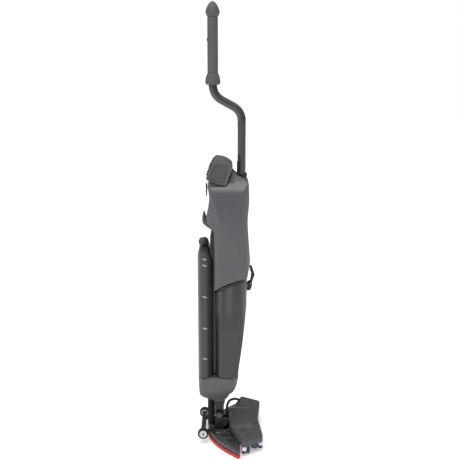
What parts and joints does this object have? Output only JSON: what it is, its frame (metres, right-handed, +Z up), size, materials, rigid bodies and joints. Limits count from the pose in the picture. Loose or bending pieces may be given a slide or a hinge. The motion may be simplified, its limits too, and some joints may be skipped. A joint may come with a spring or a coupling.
{
  "type": "upright floor scrubber",
  "caption": "Cordless upright floor scrubber with clean and recovery tanks, S-bent handle, tilting swivel foot and a low brush head with crescent squeegee.",
  "frame": {"origin": "centre of the footprint box on the floor", "axes": "+X to the front of the head, +Z up along the body, the middle plane is Y = 0"},
  "size_m": [0.1787, 0.312, 1.19],
  "materials": {
    "grey_shell": "fine matte",
    "grip_grey": "textured soft touch",
    "tube": "satin dark grey",
    "tank": "smoked translucent",
    "black": "satin",
    "deck": "satin",
    "gloss": "gloss",
    "rubber": "matte",
    "red": "matte",
    "pale": "satin",
    "white": "satin",
    "teal": "satin",
    "steel": "brushed",
    "board": "satin"
  },
  "bodies": {
    "head": {"head_chassis": "black", "deck_cover": "deck", "brush_motor": "steel", "brush_gearbox": "black", "turntable_ring": "steel", "squeegee_frame": "deck", "squeegee_blade_rear": "red", "squeegee_blade_front": "red", "wheel_bracket": "black", "wheel_axle": "steel", "solution_hose": "rubber"},
    "rear_brush": {"rear_brush_core": "teal", "rear_brush_bristles_right": "rubber", "rear_brush_bristles_left": "rubber"},
    "front_brush": {"front_brush_core": "teal", "front_brush_bristles_right": "rubber", "front_brush_bristles_left": "rubber"},
    "wheel_right": {"wheel_tyre_right": "rubber", "wheel_hub_right": "white"},
    "wheel_left": {"wheel_tyre_left": "rubber", "wheel_hub_left": "white"},
    "bumper_rear_right": {"bumper_rear_right": "pale"},
    "bumper_front_right": {"bumper_front_right": "pale"},
    "bumper_rear_left": {"bumper_rear_left": "pale"},
    "bumper_front_left": {"bumper_front_left": "pale"},
    "yoke": {"swivel_yoke": "black", "tilt_pin": "gloss", "bellows_hose": "rubber"},
    "upper": {"foot_block": "grey_shell", "spine_frame": "black", "body_shell_right": "grey_shell", "body_shell_left": "grey_shell", "rear_hook": "grey_shell", "console_housing": "grey_shell", "control_panel": "gloss", "suction_motor": "steel", "control_board": "board", "solution_pump": "black", "pole_socket": "black", "handle_tube": "tube", "grip_collar": "grip_grey", "grip_sleeve": "grip_grey", "grip_end_knob": "grip_grey"},
    "fan": {"suction_fan": "black"},
    "clean_tank": {"clean_tank": "tank"},
    "clean_cap": {"clean_tank_cap": "grip_grey"},
    "recovery_tank": {"recovery_tank": "tank", "recovery_tank_lid": "black", "intake_pipe": "grey_shell", "exhaust_filter": "rubber", "float_cage": "grey_shell", "latch_pin": "steel"},
    "float": {"float": "white"},
    "latch": {"tank_latch": "black"},
    "battery_right": {"battery_pack_right": "grip_grey"},
    "battery_left": {"battery_pack_left": "grip_grey"},
    "release_lever": {"battery_release_lever": "black"},
    "power_button": {"power_button": "steel"},
    "flow_button": {"flow_button": "grey_shell"},
    "grip_button": {"grip_button": "black"}
  },
  "joints": [
    {"name": "head_swivel", "type": "hinge", "parent": "head", "child": "yoke", "pos_m": [-0.03, 0, 0.02], "axis": [0, 0, 1], "range_deg": [-90, 90]},
    {"name": "body_lean", "type": "hinge", "parent": "yoke", "child": "upper", "pos_m": [-0.03, 0, 0.064], "axis": [0, -1, 0], "range_deg": [0, 60], "deforming": ["bellows_hose"]},
    {"name": "rear_brush_spin", "type": "hinge", "parent": "head", "child": "rear_brush", "pos_m": [0.042, 0, 0.0125], "axis": [0, 1, 0], "continuous": true},
    {"name": "front_brush_spin", "type": "hinge", "parent": "head", "child": "front_brush", "pos_m": [0.0685, 0, 0.0125], "axis": [0, 1, 0], "continuous": true},
    {"name": "wheel_right_spin", "type": "hinge", "parent": "head", "child": "wheel_right", "pos_m": [-0.0744, -0.068, 0.0298], "axis": [0, 1, 0], "continuous": true},
    {"name": "wheel_left_spin", "type": "hinge", "parent": "head", "child": "wheel_left", "pos_m": [-0.0744, 0.068, 0.0298], "axis": [0, 1, 0], "continuous": true},
    {"name": "bumper_rear_right_spin", "type": "hinge", "parent": "head", "child": "bumper_rear_right", "pos_m": [0.038, -0.1397, 0.0218], "axis": [0, 0, 1], "continuous": true},
    {"name": "bumper_rear_left_spin", "type": "hinge", "parent": "head", "child": "bumper_rear_left", "pos_m": [0.038, 0.1397, 0.0218], "axis": [0, 0, 1], "continuous": true},
    {"name": "bumper_front_right_spin", "type": "hinge", "parent": "head", "child": "bumper_front_right", "pos_m": [0.0822, -0.1076, 0.0218], "axis": [0, 0, 1], "continuous": true},
    {"name": "bumper_front_left_spin", "type": "hinge", "parent": "head", "child": "bumper_front_left", "pos_m": [0.0822, 0.1076, 0.0218], "axis": [0, 0, 1], "continuous": true},
    {"name": "fan_spin", "type": "hinge", "parent": "upper", "child": "fan", "pos_m": [0.003, 0, 0.49], "axis": [0, 0, 1], "continuous": true},
    {"name": "clean_tank_tilt", "type": "hinge", "parent": "upper", "child": "clean_tank", "pos_m": [-0.083, 0, 0.1996], "axis": [0, -1, 0], "range_deg": [0, 25]},
    {"name": "clean_cap_turn", "type": "hinge", "parent": "clean_tank", "child": "clean_cap", "pos_m": [-0.07, 0, 0.547], "axis": [-0.1494, 0, 0.9888], "range_deg": [0, 120]},
    {"name": "recovery_tank_tilt", "type": "hinge", "parent": "upper", "child": "recovery_tank", "pos_m": [0.0187, 0, 0.1996], "axis": [0, 1, 0], "range_deg": [0, 20]},
    {"name": "tank_latch_turn", "type": "hinge", "parent": "recovery_tank", "child": "latch", "pos_m": [0.057, 0, 0.444], "axis": [0, 1, 0], "range_deg": [0, 60]},
    {"name": "float_rise", "type": "slide", "parent": "recovery_tank", "child": "float", "axis": [0, 0, 1], "range_m": [0, 0.04]},
    {"name": "battery_right_out", "type": "slide", "parent": "upper", "child": "battery_right", "axis": [0, -1, 0], "range_m": [0, 0.06]},
    {"name": "battery_left_out", "type": "slide", "parent": "upper", "child": "battery_left", "axis": [0, 1, 0], "range_m": [0, 0.06]},
    {"name": "battery_release", "type": "hinge", "parent": "upper", "child": "release_lever", "pos_m": [-0.063, 0, 0.717], "axis": [0, -1, 0], "range_deg": [0, 8], "stiffness_Nm_per_rad": 0.3},
    {"name": "power_press", "type": "slide", "parent": "upper", "child": "power_button", "axis": [0.92, 0, -0.392], "range_m": [0, 0.0012], "stiffness_N_per_m": 600},
    {"name": "flow_press", "type": "slide", "parent": "upper", "child": "flow_button", "axis": [0.92, 0, -0.392], "range_m": [0, 0.0012], "stiffness_N_per_m": 600},
    {"name": "grip_switch", "type": "slide", "parent": "upper", "child": "grip_button", "axis": [1, 0, 0], "range_m": [0, 0.001], "stiffness_N_per_m": 600}
  ],
  "couplings": [
    {"joint": "front_brush_spin", "follows": "rear_brush_spin", "ratio": -1}
  ]
}
